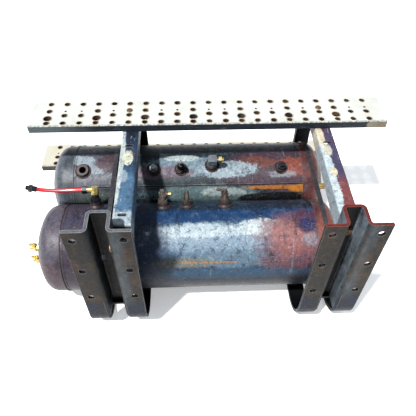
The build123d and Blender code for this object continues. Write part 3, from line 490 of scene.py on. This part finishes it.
def metal_mat(name, a, b, rough=(0.25, 0.5), metal=1.0, tarnish=lin(70, 56, 44), seed=0.0, edge=None, k=0.6):
    m = Mat(name)
    fine = m.noise(260, 8, 0.75, seed=seed)
    big = m.noise(70, 6, 0.65, 0.4, seed=seed + 1)
    col = m.mix(m.mapr(big, 0.35, 0.65), a, b)
    spot = m.mapr(m.noise(120, 7, 0.75, 0.5, seed=seed + 2), 0.52, 0.66)
    col = m.mix(m.math("MULTIPLY", spot, k), col, tarnish)
    # darker tarnish in crevices found by AO: grime, plus painted shade
    grime_and_shade = m.mapr(m.ao(0.008), 0.75, 0.25)
    col = m.mix(m.math("MULTIPLY", grime_and_shade, 0.6), col, tuple(c * 0.25 for c in tarnish))
    if edge:
        e = m.edge(0.0012, 0.03, 0.25)
        col = m.mix(m.math("MULTIPLY", e, 0.7), col, edge)
    m.height(fine, 0.5)
    m.height(spot, 0.3)
    met = m.math("MULTIPLY", m.mapr(spot, 0.0, 1.0, 1.0, 0.4), metal)
    return m.done(col, m.mapr(big, 0.3, 0.7, rough[0], rough[1]), met, 0.4, 0.0006)


mat_brass = metal_mat("aged_brass", lin(240, 222, 156), lin(206, 178, 104), (0.20, 0.40), 0.9, lin(110, 86, 50), 150.0, lin(250, 236, 180), 0.4)
mat_fit = metal_mat("tarnished_fitting", lin(160, 150, 144), lin(96, 80, 72), (0.22, 0.46), 0.75, lin(84, 54, 42), 160.0, lin(236, 228, 218), 0.6)
mat_silver = metal_mat("zinc_fitting", lin(196, 204, 210), lin(150, 160, 168), (0.22, 0.42), 1.0, lin(88, 84, 80), 165.0, lin(230, 234, 236), 0.35)
mat_black_fit = metal_mat("black_fitting", lin(52, 52, 58), lin(30, 30, 36), (0.3, 0.5), 0.6, lin(80, 64, 56), 170.0, lin(130, 130, 134), 0.4)
mat_bolt = metal_mat("rusty_bolt", lin(168, 140, 112), lin(120, 92, 74), (0.4, 0.65), 0.7, lin(126, 74, 44), 180.0, lin(196, 176, 150), 0.7)
mat_strap = metal_mat("strap_zinc", lin(128, 128, 134), lin(88, 90, 98), (0.35, 0.55), 0.8, lin(92, 64, 54), 190.0, lin(190, 190, 192), 0.5)


def rubber_mat():
    m = Mat("liner_rubber")
    fine = m.noise(220, 8, 0.75, seed=200)
    big = m.noise(30, 5, 0.6, seed=201)
    col = m.mix(m.mapr(big, 0.3, 0.7), lin(24, 24, 26), lin(44, 42, 42))
    col = m.mix(m.math("MULTIPLY", m.mapr(fine, 0.6, 0.75), 0.4), col, lin(92, 86, 80))
    m.height(fine, 0.6)
    return m.done(col, m.mapr(fine, 0.3, 0.7, 0.6, 0.85), 0.0, 0.5, 0.0008)


def hose_mat():
    m = Mat("red_hose_nylon")
    fine = m.noise(200, 6, 0.7, seed=210)
    along_ = m.noise(24, 5, 0.6, stretch=(0.3, 2, 2), seed=211)
    col = m.mix(m.mapr(along_, 0.35, 0.65), lin(214, 26, 44), lin(232, 58, 70))
    col = m.mix(m.math("MULTIPLY", m.mapr(m.noise(60, 5, 0.7, 0.5, seed=212), 0.56, 0.68), 0.4), col, lin(246, 176, 178))
    col = m.mix(m.math("MULTIPLY", m.mapr(fine, 0.62, 0.7), 0.4), col, lin(120, 24, 30))
    m.height(fine, 0.3)
    return m.done(col, m.mapr(along_, 0.3, 0.7, 0.26, 0.44), 0.0, 0.35, 0.0005, Coat_Weight=0.25)


def weld_mat():
    m = Mat("weld_bead_metal")
    fine = m.noise(300, 6, 0.7, seed=220)
    big = m.noise(50, 5, 0.6, seed=221)
    col = m.mix(m.mapr(big, 0.35, 0.65), lin(50, 44, 50), lin(86, 72, 74))
    col = m.mix(m.math("MULTIPLY", m.mapr(fine, 0.55, 0.7), 0.6), col, lin(180, 168, 160))
    m.height(fine, 0.5)
    return m.done(col, m.mapr(fine, 0.3, 0.7, 0.4, 0.65), 0.35, 0.5, 0.0006)


def boss_mat():
    m = Mat("head_boss_metal")
    x, y, z = m.xyz()
    fine = m.noise(300, 6, 0.7, seed=250)
    big = m.noise(60, 5, 0.6, seed=251)
    steel = m.mix(m.mapr(big, 0.35, 0.65), lin(64, 54, 62), lin(100, 84, 92))
    yellow = m.mix(m.mapr(big, 0.35, 0.65), lin(232, 208, 138), lin(186, 152, 86))
    k = m.mapr(x, -0.05, 0.05)
    col = m.mix(k, steel, yellow)
    col = m.mix(m.math("MULTIPLY", m.mapr(fine, 0.58, 0.70), 0.5), col, lin(88, 64, 44))
    m.height(fine, 0.5)
    return m.done(col, m.mapr(fine, 0.3, 0.7, 0.28, 0.5), m.math("MULTIPLY", k, 0.8), 0.5, 0.0006)


mat_rubber, mat_hose, mat_weld, mat_boss = rubber_mat(), hose_mat(), weld_mat(), boss_mat()

assign = {
    "front_tank_shell": mat_front, "front_tank_bungs": mat_weld, "rear_tank_shell": mat_rear, "rear_tank_bungs": mat_weld,
    "front_tank_left_head": mat_front, "rear_tank_left_head": mat_rlhead, "front_tank_right_head": mat_rhead, "rear_tank_right_head": mat_rhead,
    "tank_head_bosses": mat_boss, "left_hanger": mat_lhang, "right_hanger": mat_rhang, "left_arm": mat_larm, "right_arm": mat_rarm,
    "upper_step_plank": mat_up, "lower_step_plank": mat_lo, "hose_adapter": mat_black_fit, "hose_elbow": mat_brass, "hose_nut": mat_black_fit,
    "red_hose": mat_hose, "hose_end_coupling": mat_black_fit, "rear_elbow_nut": mat_brass, "rear_tank_side_plug": mat_brass,
    "check_valve_side_cap": mat_brass, "rear_elbow": mat_silver, "rear_adapter_plug": mat_silver, "rear_square_plug": mat_black_fit,
    "safety_valve_body": mat_black_fit, "front_drain_body": mat_brass, "rear_drain_body": mat_brass,
}
for name, ob in nodes.items():
    if name in assign:
        mt = assign[name]
    elif "drain_cock" in name:
        mt = mat_brass
    elif "bolts" in name or "nuts" in name or "spacers" in name:
        mt = mat_bolt
    elif "hold_down" in name:
        mt = mat_strap
    elif "liner" in name or "saddle" in name:
        mt = mat_rubber
    elif "stringer" in name or "bracket" in name or "tie" in name or "anchor" in name:
        mt = mat_dark
    else:
        mt = mat_fit
    ob.data.materials.clear()
    ob.data.materials.append(mt)
mat_lh = mat_lhead
for n in ("front_tank_left_head",):
    nodes[n].data.materials[0] = mat_lh


# ------------------------------------------------------------------ mesh pieces
def new_piece(name, bm, mat, body="frame", smooth=True):
    me = bpy.data.meshes.new(name)
    bmesh.ops.recalc_face_normals(bm, faces=bm.faces)
    bmesh.ops.translate(bm, verts=bm.verts, vec=BASE)
    bm.to_mesh(me)
    bm.free()
    for p in me.polygons:
        p.use_smooth = smooth
    ob = bpy.data.objects.new(name, me)
    bpy.context.collection.objects.link(ob)
    me.materials.append(mat)
    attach(ob, body)
    return ob


def hash01(i):
    return (math.sin(i * 12.9898) * 43758.5453) % 1.0


def bead(bm, pts, r, closed=True, lump=0.22, n=8, up=None):
    """A weld bead: a tube along pts whose thickness ripples."""
    rings = []
    cnt = len(pts)
    for i, p in enumerate(pts):
        a = pts[(i - 1) % cnt] if closed or i > 0 else p
        b = pts[(i + 1) % cnt] if closed or i < cnt - 1 else p
        t = (b - a).normalized()
        u = t.orthogonal().normalized() if up is None else (up(p) - t * up(p).dot(t)).normalized()
        v = t.cross(u)
        rr = r * (1 + lump * math.sin(i * 1.9) + lump * 0.6 * (hash01(i) - 0.5))
        rings.append([bm.verts.new(p + (u * math.cos(2 * math.pi * k / n) + v * math.sin(2 * math.pi * k / n)) * rr) for k in range(n)])
    last = cnt if closed else cnt - 1
    for i in range(last):
        q, w = rings[i], rings[(i + 1) % cnt]
        for k in range(n):
            bm.faces.new((q[k], q[(k + 1) % n], w[(k + 1) % n], w[k]))
    if not closed:
        bm.faces.new(rings[0])
        bm.faces.new(list(reversed(rings[-1])))


TR = 0.12065
F_PORTS = [(-0.342, 31, 0.015), (-0.157, 25, 0.015), (-0.091, 25, 0.012), (0.013, 25, 0.015)]
R_PORTS = [(-0.394, -25, 0.017), (-0.187, -25, 0.014), (-0.107, -25, 0.014), (-0.015, -20, 0.016), (0.190, -25, 0.014)]
for tag, yc, ports in (("front", 0.187, F_PORTS), ("rear", 0.432, R_PORTS)):
    bm = bmesh.new()
    for x, a, r in ports:
        d = Vector((0, math.sin(math.radians(a)), math.cos(math.radians(a))))
        e1 = Vector((1, 0, 0))
        e2 = d.cross(e1)
        pts = []
        for k in range(56):
            t = 2 * math.pi * k / 56
            rr = r + 0.0042
            q = e1 * (rr * math.cos(t)) + e2 * (rr * math.sin(t))
            off = q.dot(e2)
            lift = math.sqrt(TR * TR - off * off)
            pts.append(Vector((x, yc, 0.147)) + q + d * (lift + 0.0006))
        bead(bm, pts, 0.0021, True, 0.16)
    new_piece(tag + "_port_welds", bm, mat_weld)

# weld beads round the head joints
for tag, yc in (("front", 0.187), ("rear", 0.432)):
    for side, x in (("left", -0.4225), ("right", 0.2525)):
        bm = bmesh.new()
        pts = []
        for k in range(220):
            t = 2 * math.pi * k / 220
            pts.append(Vector((x + 0.0004 * math.sin(k * 0.9), yc + math.sin(t) * (TR + 0.0006), 0.147 + math.cos(t) * (TR + 0.0006))))
        bead(bm, pts, 0.0016, True, 0.10, 6)
        new_piece(f"{tag}_{side}_joint_weld", bm, mat_front if tag == "front" else mat_rear)

# weld runs that hold the arms, bracket, ties and step brackets
bm = bmesh.new()


def run(a, b, r=0.0026, n=None):
    a, b = Vector(a), Vector(b)
    n = n or max(6, int((b - a).length / 0.0028))
    bead(bm, [a.lerp(b, i / n) for i in range(n + 1)], r, False, 0.2)


run((0.268, 0.0622, 0.3955), (0.312, 0.0622, 0.3955))
run((0.2672, 0.0625, 0.345), (0.2672, 0.0625, 0.390))
run((0.3085, 0.0625, 0.345), (0.3085, 0.0625, 0.390))
run((-0.2535, 0.0625, 0.205), (-0.2535, 0.0625, 0.385))
for cx in (-0.281, 0.281):
    for s in (-1, 1):
        for yy in (0.518, 0.566):
            run((cx + s * 0.030, yy, 0.0085), (cx + s * 0.072, yy, 0.0085))
for xx in (-0.240, 0.290):
    run((xx - 0.022, 0.4992, 0.3885), (xx + 0.022, 0.4992, 0.3885), 0.0022)
    run((xx - 0.017, 0.5650, 0.0612), (xx + 0.017, 0.5650, 0.0612), 0.0022)
    run((xx - 0.022, 0.5585, 0.0165), (xx + 0.022, 0.5585, 0.0165), 0.0026)
new_piece("bracket_weld_runs", bm, mat_weld)

# drawn rims round the tread holes: a low raised lip above and a tapering cup below; the deep dark cups are painted
# shade seen down the holes
def rims(name, x, y, z, special, bolts, mat, cup):
    top, low = bmesh.new(), bmesh.new()
    for i in range(21):
        cx = x + (i - 10) * 0.0442
        hs = [(0.097, 0.0073), (0.014, 0.0073)]
        if i % 3 == special:
            hs += [(0.0655, 0.0073), (0.034, 0.0105)]
        else:
            hs += [(0.0465, 0.0073)]
            if i not in bolts:
                hs += [(0.0655, 0.0030)]
        for dy, r in hs:
            n = 28
            small = r < 0.005
            prof = [(-0.0001, -0.0010), (0.0, 0.0003), (0.0006, 0.0009), (0.0016, 0.0006), (0.0030, -0.0002)]
            if small:
                prof = [(-0.0001, -0.0006), (0.0, 0.0002), (0.0004, 0.0004), (0.0012, -0.0002)]
            d = 0.006 if small else 0.0135
            cupp = [(-0.0001, -0.0008), (-0.0003, -0.0035), (-0.12 * r, -0.6 * d), (-0.24 * r, -d), (-0.24 * r + 0.0012, -d), (-0.12 * r + 0.0014, -0.6 * d), (0.0010, -0.0032)]
            for bm, pf, close in ((top, prof, True), (low, cupp, False)):
                rings = []
                for j, (pr, pz) in enumerate(pf):
                    ring = []
                    for k in range(n):
                        t = 2 * math.pi * k / n
                        wob = 1 + 0.010 * math.sin(3 * t + i * 1.7 + dy * 90) * (j / len(pf))
                        rr = (r + pr + 0.00002) * wob
                        ring.append(bm.verts.new((cx + rr * math.cos(t), y + dy + rr * math.sin(t), z + pz)))
                    rings.append(ring)
                if close:
                    rings.append(rings[0])
                for a, b in zip(rings, rings[1:]):
                    for k in range(n):
                        bm.faces.new((a[k], a[(k + 1) % n], b[(k + 1) % n], b[k]))
    new_piece(name, top, mat)
    new_piece(name.replace("rims", "cups"), low, cup)


def cup_mat():
    # painted shade: dark grey-brown cups stand in for the shade seen down the holes, with some brown dirt
    m = Mat("tread_hole_shade_and_dirt")
    fine = m.noise(300, 6, 0.75, seed=230)
    big = m.noise(24, 6, 0.7, seed=231)
    col = m.mix(m.mapr(big, 0.42, 0.60), lin(40, 42, 50), lin(104, 86, 66))
    col = m.mix(m.math("MULTIPLY", m.mapr(fine, 0.55, 0.68), 0.6), col, lin(24, 22, 22))
    m.height(fine, 0.6)
    return m.done(col, m.mapr(fine, 0.3, 0.7, 0.6, 0.9), 0.0, 0.5, 0.0006)


def rim_mat():
    m = Mat("tread_rim_wear")
    fine = m.noise(260, 7, 0.78, seed=240)
    big = m.noise(30, 6, 0.7, 0.3, seed=241)
    col = m.mix(m.mapr(big, 0.40, 0.60), lin(226, 222, 208), lin(150, 122, 92))
    col = m.mix(m.math("MULTIPLY", m.mapr(fine, 0.52, 0.66), 0.7), col, lin(84, 70, 58))
    m.height(fine, 0.6)
    return m.done(col, m.mapr(fine, 0.3, 0.7, 0.5, 0.8), 0.0, 0.5, 0.0006)


mat_cup, mat_rim = cup_mat(), rim_mat()
rims("upper_tread_rims", -0.024, 0.390, 0.416, 0, (5, 17), mat_rim, mat_cup)
rims("lower_tread_rims", -0.1074, 0.583, 0.086, 2, (7, 19), mat_rim, mat_cup)

# thread crests on the exposed nipples
def threads(bm, origin, d, r, length, pitch=0.0015, n=24):
    d = Vector(d).normalized()
    u = d.orthogonal().normalized()
    v = d.cross(u)
    turns = length / pitch
    steps = int(turns * n)
    prev = None
    for i in range(steps + 1):
        t = 2 * math.pi * i / n
        c = Vector(origin) + d * (length * i / steps)
        out = u * math.cos(t) + v * math.sin(t)
        fade = min(1.0, i / n, (steps - i) / n)
        ring = [bm.verts.new(c + out * (r - 0.0003) - d * pitch * 0.42), bm.verts.new(c + out * (r + 0.00045 * fade)), bm.verts.new(c + out * (r - 0.0003) + d * pitch * 0.42)]
        if prev:
            for k in range(2):
                bm.faces.new((prev[k], prev[k + 1], ring[k + 1], ring[k]))
        prev = ring


for node, x, yc, deg, h, segs, mt in (
    ("check_valve_body", -0.157, 0.187, 25, 0.012, ((0.0092, 0.0088, 0.0095), (0.0292, 0.0066, 0.0065)), mat_fit),
    ("tall_adapter", -0.091, 0.187, 25, 0.01, ((0.0085, 0.019, 0.007), (0.0282, 0.0066, 0.005)), mat_fit),
    ("front_line_fitting", 0.013, 0.187, 25, 0.012, ((0.0102, 0.0076, 0.0095), (0.0272, 0.006, 0.006)), mat_fit),
    ("hose_adapter", -0.342, 0.187, 31, 0.012, ((0.0122, 0.0094, 0.0095),), mat_black_fit),
    ("rear_adapter_plug", -0.187, 0.432, -25, 0.008, ((0.0092, 0.0056, 0.008),), mat_silver),
    ("safety_valve_body", -0.107, 0.432, -25, 0.008, ((0.0092, 0.0146, 0.01),), mat_black_fit),
):
    d = Vector((0, math.sin(math.radians(deg)), math.cos(math.radians(deg))))
    bm = bmesh.new()
    for off, length, rad in segs:
        threads(bm, Vector((x, yc, 0.147)) + d * (TR + h + off), d, rad, length, 0.0014, 20)
    new_piece(node + "_thread", bm, mt)

# ------------------------------------------------------------------ floor, light, camera
low = min(cad_box[0][2], cad_box[1][2]) if hasattr(cad_box[0], "__len__") else 0.0
bm = bmesh.new()
bmesh.ops.create_grid(bm, x_segments=1, y_segments=1, size=8.0)
me = bpy.data.meshes.new("floor")
bm.to_mesh(me)
bm.free()
floor = bpy.data.objects.new("floor", me)
floor.location = (0, 0, low - 0.0005)
bpy.context.collection.objects.link(floor)
m = Mat("pale_floor")
n = m.noise(3, 3, 0.5, seed=300)
me.materials.append(m.done(m.mix(n, (0.86, 0.86, 0.86), (0.90, 0.90, 0.90)), 0.9, 0.0, Emission_Color=(1, 1, 1), Emission_Strength=0.30))
floor.visible_diffuse = False

world = bpy.data.worlds.new("studio")
bpy.context.scene.world = world
world.use_nodes = True
wt = world.node_tree
bg = wt.nodes["Background"]
tc = wt.nodes.new("ShaderNodeTexCoord")
sp = wt.nodes.new("ShaderNodeSeparateXYZ")
mr = wt.nodes.new("ShaderNodeMapRange")
wt.links.new(tc.outputs["Generated"], sp.inputs[0])
wt.links.new(sp.outputs[2], mr.inputs[0])
mr.inputs[1].default_value, mr.inputs[2].default_value = -0.15, 0.25
mr.inputs[3].default_value, mr.inputs[4].default_value = 0.16, 0.55
lp = wt.nodes.new("ShaderNodeLightPath")
mx = wt.nodes.new("ShaderNodeMix")
mx.data_type = "FLOAT"
wt.links.new(lp.outputs["Is Camera Ray"], mx.inputs[0])
wt.links.new(mr.outputs[0], mx.inputs[2])
mx.inputs[3].default_value = 1.1
wt.links.new(mx.outputs[0], bg.inputs[1])
bg.inputs[0].default_value = (0.86, 0.93, 1.0, 1)

sun = bpy.data.lights.new("key", "SUN")
sun.energy = 5.2
sun.angle = math.radians(3.5)
sun.color = (1.0, 0.975, 0.94)
so = bpy.data.objects.new("key", sun)
so.rotation_euler = Vector((0.38, 0.37, -1.0)).to_track_quat("-Z", "Y").to_euler()
bpy.context.collection.objects.link(so)

bpy.context.scene.view_settings.view_transform = "Standard"
bpy.context.scene.view_settings.look = "Medium High Contrast"

cam = bpy.data.cameras.new("cam")
cam.lens = 463.02 / 416 * 36
cam.sensor_width = 36
co = bpy.data.objects.new("cam", cam)
pitch, yaw, roll = 0.8583, 0.0546, 0.0188
f = Vector((math.sin(yaw) * math.cos(pitch), math.cos(yaw) * math.cos(pitch), -math.sin(pitch)))
r = Vector((math.cos(yaw), -math.sin(yaw), 0))
u = r.cross(f)
r2 = r * math.cos(roll) + u * math.sin(roll)
u2 = -r * math.sin(roll) + u * math.cos(roll)
rot = Matrix((r2, u2, -f)).transposed()
co.matrix_world = Matrix.Translation(BASE + Vector((-0.079, -0.602, 1.218))) @ rot.to_4x4()
bpy.context.collection.objects.link(co)
bpy.context.scene.camera = co
